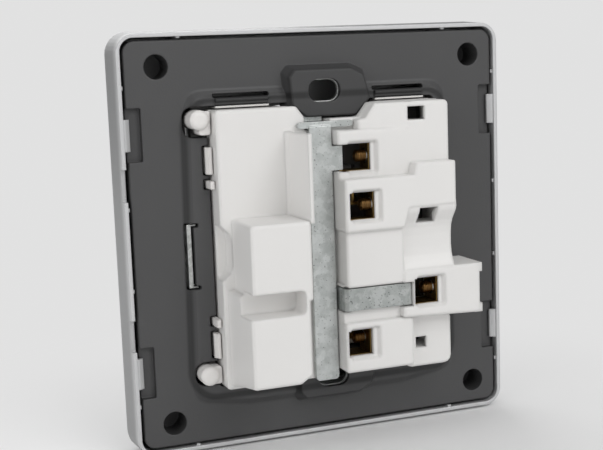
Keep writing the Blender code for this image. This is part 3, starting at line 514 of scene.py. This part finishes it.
@dataclass(frozen=True)
class Palette:
    """The finishes of the socket, each given to the pieces that carry it."""

    # Trim: tone raised towards the back rim, a painted highlight on the rim and painted shade on
    # the outer side.
    trim: Finish = Finish("trim_silver", (0.325, 0.327, 0.33), 0.42, 0.4, drift=0.05, grain=3200.0,
                          relief=0.10, edge_mm=0.35, painted_light_tone=1.85, painted_light_mm=-1.3,
                          painted_light_span_mm=3.4)
    # Plate: raised tabs, steep slopes and a soft band round the collar painted darker, all painted
    # shade.
    plate: Finish = Finish("plate_dark", (0.070, 0.070, 0.0712), 0.46, drift=0.10, grain=2400.0,
                           relief=0.14, edge_mm=0.45, gloss=0.35, painted_light_tone=0.76,
                           painted_slope_shade=0.72, painted_band_shade=0.4)
    face: Finish = Finish("cover_face", (0.56, 0.56, 0.555), 0.33, drift=0.03, grain=3400.0,
                          relief=0.04, edge_mm=0.4)
    white: Finish = Finish("white_moulding", (0.785, 0.775, 0.76), 0.40, drift=0.035,
                           grain=2200.0, relief=0.05, edge_mm=0.9)
    # Module body: a dark colour lifted to white above the flange, so its deep inside is painted
    # shade.
    deck: Finish = Finish("module_white_painted_shade", (0.20, 0.195, 0.19), 0.42, drift=0.035, grain=2200.0,
                          relief=0.05, edge_mm=0.5, painted_light_tone=3.95, painted_light_mm=-1.5)
    clamp: Finish = Finish("clamp_brass", (0.40, 0.265, 0.095), 0.34, 1.0, Pattern.ROLLED,
                           relief=0.10, edge_mm=0.1, second=(0.22, 0.14, 0.05))
    strap: Finish = Finish("strap_zinc", (0.60, 0.62, 0.612), 0.40, 0.85, Pattern.SPANGLED,
                           grain=620.0, relief=0.16, edge_mm=0.2, second=(0.46, 0.482, 0.473))
    # Link: the strap's zinc made darker, painted shade.
    link: Finish = Finish("link_zinc_painted_shade", (0.50, 0.52, 0.51), 0.42, 0.85, Pattern.SPANGLED,
                          grain=640.0, relief=0.16, edge_mm=0.2, second=(0.37, 0.39, 0.38))
    support: Finish = Finish("support_zinc", (0.60, 0.61, 0.60), 0.38, 0.9, Pattern.SPANGLED,
                             grain=900.0, relief=0.12, edge_mm=0.2, second=(0.40, 0.41, 0.40))
    brass: Finish = Finish("terminal_brass", (0.40, 0.27, 0.095), 0.34, 1.0, Pattern.ROLLED,
                           relief=0.10, edge_mm=0.15, second=(0.22, 0.14, 0.045))
    # Pressing points: a darker copy of the brass, painted shade for their place deep in the bores.
    point: Finish = Finish("screw_point_painted_shade", (0.24, 0.135, 0.05), 0.40, 1.0, Pattern.ROLLED,
                           relief=0.10, edge_mm=0.1, second=(0.13, 0.072, 0.026))
    screw: Finish = Finish("screw_zinc", (0.62, 0.62, 0.60), 0.32, 1.0, Pattern.ROLLED,
                           relief=0.08, edge_mm=0.12, second=(0.45, 0.45, 0.43))
    wire: Finish = Finish("spring_wire", (0.52, 0.52, 0.52), 0.30, 1.0, Pattern.ROLLED,
                          relief=0.04, edge_mm=0.05, second=(0.38, 0.38, 0.38))

    def build(self) -> dict[str, bpy.types.Material]:
        """Make every material once.

        Returns:
            Material by field name.
        """
        effects = Effects()
        return {title: getattr(self, title).material(effects)
                for title in self.__dataclass_fields__}


def dress(nodes: dict[str, bpy.types.Object], names: Iterable[str],
          material: bpy.types.Material) -> None:
    """Give CAD nodes a material, leaving their shape alone.

    Args:
        nodes: Nodes of the frame by name.
        names: The nodes to dress.
        material: The material to give.
    """
    for name in names:
        node = nodes[name]
        if not node.material_slots:
            node.data.materials.append(material)
        for place in node.material_slots:
            place.material = material
        LOG.info("dressed %s with %s", name, material.name)


def stand(name: str, mesh: bpy.types.Mesh) -> bpy.types.Object:
    """Put a mesh in the scene as an object at the origin.

    Args:
        name: Name of the object.
        mesh: Its mesh.

    Returns:
        The object.
    """
    made = bpy.data.objects.new(name, mesh)
    bpy.context.scene.collection.objects.link(made)
    return made


def paint(mesh: bpy.types.Mesh, material: bpy.types.Material) -> None:
    """Give the whole of a mesh one material.

    Args:
        mesh: The mesh, one of the scene's own.
        material: Its material.
    """
    mesh.materials.clear()
    mesh.materials.append(material)
    mesh.polygons.foreach_set("material_index", [0] * len(mesh.polygons))


def own_mesh(name: str, node: bpy.types.Object) -> bpy.types.Object:
    """Copy a CAD node into a piece of its own, with its loose triangles merged.

    Args:
        name: Name of the new piece.
        node: The CAD node, which is left alone.

    Returns:
        The copy, in the scene.
    """
    shape = bmesh.new()
    shape.from_mesh(node.data)
    bmesh.ops.remove_doubles(shape, verts=shape.verts, dist=MERGE)
    mesh = bpy.data.meshes.new(name)
    shape.to_mesh(mesh)
    shape.free()
    return stand(name, mesh)


def box_mesh(name: str, box: Box) -> bpy.types.Object:
    """Make a box as a cutter.

    Args:
        name: Name of the object.
        box: Lowest and highest X, then Y, then Z, in millimetres.

    Returns:
        The cutter, in the scene.
    """
    shape = bmesh.new()
    bmesh.ops.create_cube(shape, size=1.0)
    low, high = Vector(box[0::2]) * MM, Vector(box[1::2]) * MM
    bmesh.ops.scale(shape, verts=shape.verts, vec=high - low)
    bmesh.ops.translate(shape, verts=shape.verts, vec=(low + high) / 2)
    mesh = bpy.data.meshes.new(name)
    shape.to_mesh(mesh)
    shape.free()
    return stand(name, mesh)


def recut(node: bpy.types.Object, boxes: Sequence[Box], material: bpy.types.Material) -> None:
    """Stand a copy of one of the socket body's nodes in its place with boxes cut out.

    Args:
        node: The CAD node.
        boxes: What to take out, in millimetres.
        material: Finish of the piece.
    """
    rough = own_mesh(node.name + "_rough", node)
    cutters = [box_mesh(f"{node.name}_cut_{index}", box) for index, box in enumerate(boxes)]
    for cutter in cutters:
        live = rough.modifiers.new(cutter.name, "BOOLEAN")
        live.operation, live.solver, live.object = "DIFFERENCE", "EXACT", cutter
    depsgraph = bpy.context.evaluated_depsgraph_get()
    mesh = bpy.data.meshes.new_from_object(rough.evaluated_get(depsgraph))
    for spare in (rough, *cutters):
        bpy.data.objects.remove(spare)
    mesh.name = node.name + "_fine"
    paint(mesh, material)
    mesh.polygons.foreach_set("use_smooth", [False] * len(mesh.polygons))
    made = stand(node.name + "_fine", mesh)
    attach(made, "socket")
    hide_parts(node.name)
    LOG.info("recut %s with %d boxes", node.name, len(boxes))


@dataclass(frozen=True)
class Mouth:
    """Wire entry of one clamp: centre, top of the clamp and top of the housing, in mm."""

    clamp: str
    x: float
    z: float
    back: float
    roof: float
    half_x: float = 2.95
    half_z: float = 2.79
    wall: float = 0.2
    slack: float = 0.05
    depth: float = 12.0

    def opening(self) -> Box:
        """Box of the opening in the housing."""
        return (self.x - self.half_x, self.x + self.half_x, self.back + 0.02, self.roof + 1.0,
                self.z - self.half_z, self.z + self.half_z)

    def bore(self) -> Box:
        """Box of the bore in the clamp."""
        return (self.x - self.half_x + self.wall, self.x + self.half_x - self.wall,
                self.back - self.depth, self.back + 1.0, self.z - self.half_z + self.slack,
                self.z + self.half_z - self.slack)


MOUTHS = (Mouth("earth_clamp_upper", -4.75, 16.6, 7.7, 9.23),
          Mouth("neutral_clamp", -4.05, 6.85, 10.85, 12.38),
          Mouth("earth_clamp_side", -18.6, -12.4, 10.05, 11.57),
          Mouth("line_clamp", -3.6, -22.15, 8.6, 10.75))


@dataclass
class TrimFrame:
    """Light grey trim frame, dark plate and steel support."""

    frame_nodes: tuple[str, ...] = ("outer_frame",)
    plate_nodes: tuple[str, ...] = ("mounting_plate",)
    steel_nodes: tuple[str, ...] = ("steel_support",)

    def build(self, nodes: dict[str, bpy.types.Object],
              looks: dict[str, bpy.types.Material]) -> None:
        """Dress the pieces.

        Args:
            nodes: Nodes of the frame by name.
            looks: Materials by finish.
        """
        dress(nodes, self.frame_nodes, looks["trim"])
        dress(nodes, self.plate_nodes, looks["plate"])
        dress(nodes, self.steel_nodes, looks["support"])


@dataclass
class Housing:
    """White mouldings of the module, the mould's thin roofs cut free behind their windows."""

    nodes_white: tuple[str, ...] = ("shutter", "plunger")
    windows: tuple[tuple[float, float, float, float, float], ...] = (
        (-18.0, 25.0, 1.95, 1.4, 8.3), (-19.0, 3.75, 2.1, 1.65, 9.2),
        (-18.7, -24.3, 1.25, 1.2, 6.9))
    undercut: float = 1.7
    slack: float = 0.05
    nodes_deck: tuple[str, ...] = ("module_body",)

    def build(self, nodes: dict[str, bpy.types.Object],
              looks: dict[str, bpy.types.Material]) -> None:
        """Dress the mouldings.

        Args:
            nodes: Nodes of the frame by name.
            looks: Materials by finish.
        """
        boxes: list[Box] = [mouth.opening() for mouth in MOUTHS]
        for x, z, half_x, half_z, skin in self.windows:
            boxes.append((x - half_x - self.undercut, x, -1.0, skin, z - half_z - self.slack,
                          z + half_z + self.slack))
        recut(nodes["rear_housing"], boxes, looks["white"])
        dress(nodes, self.nodes_white, looks["white"])
        # The module body takes the white with painted shade deep inside.
        dress(nodes, self.nodes_deck, looks["deck"])


@dataclass
class FrontFace:
    """Cover and rocker on the side that meets the plug."""

    names: tuple[str, ...] = ("front_cover", "rocker")

    def build(self, nodes: dict[str, bpy.types.Object],
              looks: dict[str, bpy.types.Material]) -> None:
        """Dress the front.

        Args:
            nodes: Nodes of the frame by name.
            looks: Materials by finish.
        """
        dress(nodes, self.names, looks["face"])


@dataclass(frozen=True)
class Coil:
    """A spring copied in its place: node, body, joint, travel in mm and push."""

    node: str
    body: str
    joint: str
    travel: float
    push: tuple[float, float, float]

    def build(self, node: bpy.types.Object, coat: bpy.types.Material) -> None:
        """Stand a copy of the spring in its place.

        Args:
            node: The CAD spring.
            coat: Its finish.
        """
        made = own_mesh(self.node + "_fine", node)
        paint(made.data, coat)
        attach(made, self.body)
        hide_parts(self.node)
        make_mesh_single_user(made)


@dataclass
class Metalwork:
    """Earth strap, contacts, clamps, screws and springs."""

    tab_end: tuple[float, float, float, float] = (-1.5, 14.0, 20.0, 0.62)
    link: tuple[str, ...] = ("link_strip",)
    brass: tuple[str, ...] = ("earth_contact", "neutral_contact", "line_contact",
                              "moving_contact", "fixed_contact")
    seat: Box = (-2.6, -1.4, 5.4, 8.4, 13.0, 20.2)
    screws: tuple[str, ...] = SCREWS
    springs: tuple[Coil, ...] = (
        Coil("shutter_spring", "socket", "shutter_slide", 5.5, (-1.0, 0.0, 0.0)),
        Coil("plunger_spring", "rocker", "plunger_slide", 0.8, (0.104528, -0.994522, 0.0)))

    def build(self, nodes: dict[str, bpy.types.Object],
              looks: dict[str, bpy.types.Material]) -> None:
        """Dress the metal.

        Args:
            nodes: Nodes of the frame by name.
            looks: Materials by finish.
        """
        self.strap(nodes["earth_strap"], looks["strap"])
        # The link takes a darker copy of the strap's zinc as painted shade.
        dress(nodes, self.link, looks["link"])
        dress(nodes, self.brass, looks["brass"])
        for mouth in MOUTHS:
            more = (self.seat,) if mouth.clamp == "earth_clamp_upper" else ()
            recut(nodes[mouth.clamp], (mouth.bore(), *more), looks["clamp"])
        dress(nodes, self.screws, looks["screw"])
        for coil in self.springs:
            coil.build(nodes[coil.node], looks["wire"])

    def strap(self, node: bpy.types.Object, coat: bpy.types.Material) -> None:
        """Stand a copy of the strap in its place, its side tab carried over the clamp's wall.

        Args:
            node: The CAD strap.
            coat: Its finish.
        """
        made = own_mesh("earth_strap_fine", node)
        edge, low, high, reach = self.tab_end
        for vertex in made.data.vertices:
            if vertex.co.x < edge * MM and low * MM - 1e-4 < vertex.co.z < high * MM:
                vertex.co.x -= reach * MM
        paint(made.data, coat)
        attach(made, "socket")
        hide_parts("earth_strap")


class RingStack:
    """Geometry Nodes tree: equal rings set along a line, for crests and ribs."""

    def __init__(self) -> None:
        """Build the tree with named inputs for its sizes."""
        tree = bpy.data.node_groups.new("ring_stack", "GeometryNodeTree")
        tree.interface.new_socket("Geometry", in_out="OUTPUT", socket_type="NodeSocketGeometry")
        for title, kind in (("Count", "NodeSocketInt"), ("Pitch", "NodeSocketFloat"),
                            ("Radius", "NodeSocketFloat"), ("Wire", "NodeSocketFloat"),
                            ("Start", "NodeSocketVector"), ("Finish", "NodeSocketMaterial")):
            tree.interface.new_socket(title, in_out="INPUT", socket_type=kind)
        sheet = NodeSheet(tree)
        start, end = sheet.add("NodeGroupInput"), sheet.add("NodeGroupOutput")
        line = sheet.add("GeometryNodeMeshLine")
        step = sheet.add("ShaderNodeCombineXYZ")
        sheet.link(start.outputs["Pitch"], step.inputs[0])
        sheet.link(start.outputs["Count"], line.inputs["Count"])
        sheet.link(start.outputs["Start"], line.inputs["Start Location"])
        sheet.link(step.outputs[0], line.inputs["Offset"])
        ring = sheet.add("GeometryNodeCurvePrimitiveCircle")
        wire = sheet.add("GeometryNodeCurvePrimitiveCircle")
        ring.inputs["Resolution"].default_value = 40
        wire.inputs["Resolution"].default_value = 6
        sheet.link(start.outputs["Radius"], ring.inputs["Radius"])
        sheet.link(start.outputs["Wire"], wire.inputs["Radius"])
        tube = sheet.add("GeometryNodeCurveToMesh")
        sheet.link(ring.outputs[0], tube.inputs["Curve"])
        sheet.link(wire.outputs[0], tube.inputs["Profile Curve"])
        place = sheet.add("GeometryNodeInstanceOnPoints")
        place.inputs["Rotation"].default_value = (0.0, math.pi / 2, 0.0)
        sheet.link(line.outputs[0], place.inputs["Points"])
        sheet.link(tube.outputs[0], place.inputs["Instance"])
        real = sheet.add("GeometryNodeRealizeInstances")
        coat = sheet.add("GeometryNodeSetMaterial")
        sheet.link(place.outputs[0], real.inputs[0])
        sheet.link(real.outputs[0], coat.inputs[0])
        sheet.link(start.outputs["Finish"], coat.inputs["Material"])
        sheet.link(coat.outputs[0], end.inputs[0])
        self.tree = tree

    def bake(self, name: str, values: dict[str, object]) -> bpy.types.Object:
        """Make one plain mesh from the tree.

        Args:
            name: Name of the new piece.
            values: Value of each input by its name.

        Returns:
            The baked object, at the origin and free of modifiers.
        """
        maker = stand(name + "_maker", bpy.data.meshes.new(name + "_maker"))
        live = maker.modifiers.new("stack", "NODES")
        live.node_group = self.tree
        for socket in self.tree.interface.items_tree:
            if socket.in_out == "INPUT" and socket.name in values:
                live[socket.identifier] = values[socket.name]
        depsgraph = bpy.context.evaluated_depsgraph_get()
        mesh = bpy.data.meshes.new_from_object(maker.evaluated_get(depsgraph))
        bpy.data.objects.remove(maker)
        mesh.name = name
        return stand(name, mesh)


@dataclass
class ScrewThreads:
    """Thread crests round the shanks of the four clamp screws."""

    screws: tuple[str, ...] = SCREWS
    shank: float = 1.45 * MM
    wire: float = 0.09 * MM
    pitch: float = 0.5 * MM
    head: float = 2.3 * MM
    tip: float = 0.75 * MM
    point_back: float = 0.35 * MM
    point_step: float = 0.42 * MM
    point_rings: int = 6
    point_radius: float = 1.02 * MM
    point_wire: float = 0.25 * MM

    def build(self, nodes: dict[str, bpy.types.Object],
              looks: dict[str, bpy.types.Material]) -> None:
        """Make the crests of each screw and let them turn with it.

        Args:
            nodes: Nodes of the frame by name.
            looks: Materials by finish.
        """
        stack = RingStack()
        for name in self.screws:
            low, high = (Vector(corner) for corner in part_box(name))
            start = low.x + self.head
            count = int((high.x - self.tip - start) / self.pitch) + 1
            middle = (low + high) / 2
            made = stack.bake(name + "_thread", {
                "Count": count, "Pitch": self.pitch, "Radius": self.shank, "Wire": self.wire,
                "Start": (start, middle.y, middle.z), "Finish": looks["screw"]})
            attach(made, name)
            LOG.info("threaded %s with %d crests", name, count)
            self.point(stack, name, high, middle, looks["point"])

    def point(self, stack: RingStack, name: str, high: Vector, middle: Vector,
              coat: bpy.types.Material) -> None:
        """Put the grooved pressing point on the end of a screw, just inside the bore.

        Args:
            stack: The tree that makes the rings.
            name: Name of the screw.
            high: Highest corner of the screw's box.
            middle: Middle of the screw's box.
            coat: Material of the point.
        """
        for title, radius, wire in (("point", self.point_radius, self.point_wire),
                                    ("core", self.point_radius / 2, self.point_radius / 2)):
            made = stack.bake(f"{name}_{title}", {
                "Count": self.point_rings, "Pitch": self.point_step, "Radius": radius,
                "Wire": wire, "Start": (high.x - self.point_back, middle.y, middle.z),
                "Finish": coat})
            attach(made, name)
            LOG.info("set %s on %s", title, name)


@dataclass
class Studio:
    """Pale floor, soft light and the camera at the pictured angle."""

    eye: tuple[float, float, float] = (92.44, 231.19, 38.2)
    right: tuple[float, float, float] = (-0.93604, 0.34976, -0.03864)
    up: tuple[float, float, float] = (-0.08826, -0.12706, 0.98796)
    focal_px: float = 1182.1
    centre_px: tuple[float, float] = (289.8, 232.6)
    image: tuple[int, int] = (603, 450)
    floor_z: float = -43.75
    backdrop: float = 0.755
    air: float = 0.54
    air_front: float = 0.5
    front_sheen: float = 0.3
    flag: float = 0.22
    flag_reach: tuple[float, float] = (0.25, 0.85)
    sheen_reach: tuple[float, float] = (-0.7, 0.2)
    air_reach: tuple[float, float] = (-0.4, 0.3)
    floor_albedo: float = 0.88
    floor_radius: float = 6.0
    fade_mm: tuple[float, float] = (46.0, 125.0)
    lamps: tuple[tuple[str, tuple[float, float, float], float, float], ...] = (
        ("key", (-180.0, 520.0, 430.0), 420.0, 1.65),
        ("fill", (520.0, 260.0, 160.0), 420.0, 0.7),
        ("front", (0.0, -500.0, 260.0), 420.0, 1.0),
    )

    def camera(self) -> bpy.types.Object:
        """Make the camera.

        Returns:
            The camera object.
        """
        data = bpy.data.cameras.new("picture_camera")
        data.sensor_width = 36.0
        data.lens = 36.0 * self.focal_px / self.image[0]
        data.shift_x = (self.image[0] / 2 - self.centre_px[0]) / self.image[0]
        data.shift_y = (self.centre_px[1] - self.image[1] / 2) / self.image[0]
        data.clip_start = 0.01
        data.clip_end = 50.0
        camera = bpy.data.objects.new("picture_camera", data)
        right, up = Vector(self.right).normalized(), Vector(self.up).normalized()
        back = right.cross(up).normalized()
        up = back.cross(right)
        turn = Matrix((right, up, back)).transposed().to_4x4()
        camera.matrix_world = Matrix.Translation(Vector(self.eye) * MM) @ turn
        bpy.context.scene.collection.objects.link(camera)
        bpy.context.scene.camera = camera
        return camera

    def light(self) -> None:
        """Hang the soft lamps, each aimed at the middle of the socket."""
        for name, place, side, power in self.lamps:
            data = bpy.data.lights.new(name, "AREA")
            data.shape = "SQUARE"
            data.size = side * MM
            data.energy = power
            lamp = bpy.data.objects.new(name, data)
            lamp.location = Vector(place) * MM
            aim = -Vector(place).normalized()
            lamp.rotation_euler = aim.to_track_quat("-Z", "Y").to_euler()
            bpy.context.scene.collection.objects.link(lamp)

    def surroundings(self) -> None:
        """Fill the world: an even grey that lights softly and shows as the backdrop."""
        world = bpy.data.worlds.new("studio_air")
        bpy.context.scene.world = world
        world.use_nodes = True
        tree = world.node_tree
        tree.nodes.clear()
        sheet = NodeSheet(tree)
        path = sheet.add("ShaderNodeLightPath")
        seen = sheet.math("MAXIMUM", path.outputs["Is Camera Ray"], path.outputs["Is Glossy Ray"])
        seen = sheet.math("MAXIMUM", seen, path.outputs["Is Transmission Ray"])
        axes = sheet.axes("Generated")
        side = sheet.span(axes["X"], self.flag_reach, (self.backdrop, self.flag), True)
        dim = sheet.span(axes["Y"], self.sheen_reach, (self.front_sheen, 1.0), True)
        shown = sheet.math("MAXIMUM", sheet.math("MULTIPLY", side, dim),
                           sheet.math("MULTIPLY", path.outputs["Is Camera Ray"], self.backdrop))
        air, view = sheet.add("ShaderNodeBackground"), sheet.add("ShaderNodeBackground")
        air.inputs[0].default_value = (1.0, 1.0, 1.0, 1.0)
        depth = sheet.span(axes["Y"], self.air_reach, (self.air_front, self.air), True)
        sheet.link(depth, air.inputs[1])
        view.inputs[0].default_value = (1.0, 1.0, 1.0, 1.0)
        sheet.link(shown, view.inputs[1])
        mix, out = sheet.add("ShaderNodeMixShader"), sheet.add("ShaderNodeOutputWorld")
        sheet.link(seen, mix.inputs[0])
        sheet.link(air.outputs[0], mix.inputs[1])
        sheet.link(view.outputs[0], mix.inputs[2])
        sheet.link(mix.outputs[0], out.inputs[0])

    def floor(self) -> bpy.types.Object:
        """Lay the floor: lit near the socket, and the colour of the backdrop further off.

        Returns:
            The floor object.
        """
        mesh = bpy.data.meshes.new("floor")
        shape = bmesh.new()
        bmesh.ops.create_circle(shape, cap_ends=True, segments=96,
                                 radius=self.floor_radius)
        bmesh.ops.translate(shape, verts=shape.verts, vec=(0, 0, (self.floor_z - 0.05) * MM))
        shape.to_mesh(mesh)
        shape.free()
        floor = stand("floor", mesh)
        mesh.materials.append(self._floor_material())
        return floor

    def _floor_material(self) -> bpy.types.Material:
        """Matt white near the socket, backdrop colour to the eye beyond.

        Returns:
            The floor's material.
        """
        made = bpy.data.materials.new("floor_white")
        made.use_nodes = True
        sheet = NodeSheet(made.node_tree)
        shader = made.node_tree.nodes["Principled BSDF"]
        shader.inputs["Base Color"].default_value = (*[self.floor_albedo] * 3, 1.0)
        shader.inputs["Roughness"].default_value = 0.5
        shader.inputs["Specular IOR Level"].default_value = 0.3
        place = sheet.add("ShaderNodeTexCoord")
        reach = sheet.add("ShaderNodeVectorMath", operation="LENGTH")
        sheet.link(place.outputs["Object"], reach.inputs[0])
        near, far = self.fade_mm
        fade = sheet.span(reach.outputs["Value"], (near * MM, far * MM), (0.0, 1.0), True)
        path = sheet.add("ShaderNodeLightPath")
        blend = sheet.math("MULTIPLY", fade, path.outputs["Is Camera Ray"])
        glow = sheet.add("ShaderNodeEmission")
        glow.inputs[0].default_value = (self.backdrop, self.backdrop, self.backdrop, 1.0)
        mix = sheet.add("ShaderNodeMixShader")
        out = made.node_tree.nodes["Material Output"]
        sheet.link(blend, mix.inputs[0])
        sheet.link(shader.outputs[0], mix.inputs[1])
        sheet.link(glow.outputs[0], mix.inputs[2])
        sheet.link(mix.outputs[0], out.inputs[0])
        return made

    def build(self) -> None:
        """Set up the picture."""
        bpy.context.scene.view_settings.view_transform = "Standard"
        self.camera()
        self.light()
        self.surroundings()
        self.floor()


def main() -> None:
    """Build the socket's looks in order."""
    logging.basicConfig(level=logging.INFO, format="%(name)s: %(message)s")
    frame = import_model()
    looks = Palette().build()
    for assembly in (TrimFrame(), Housing(), FrontFace(), Metalwork(), ScrewThreads()):
        assembly.build(frame["nodes"], looks)
        LOG.info("built %s", type(assembly).__name__)
    Studio().build()


if __name__ == "__main__":
    main()
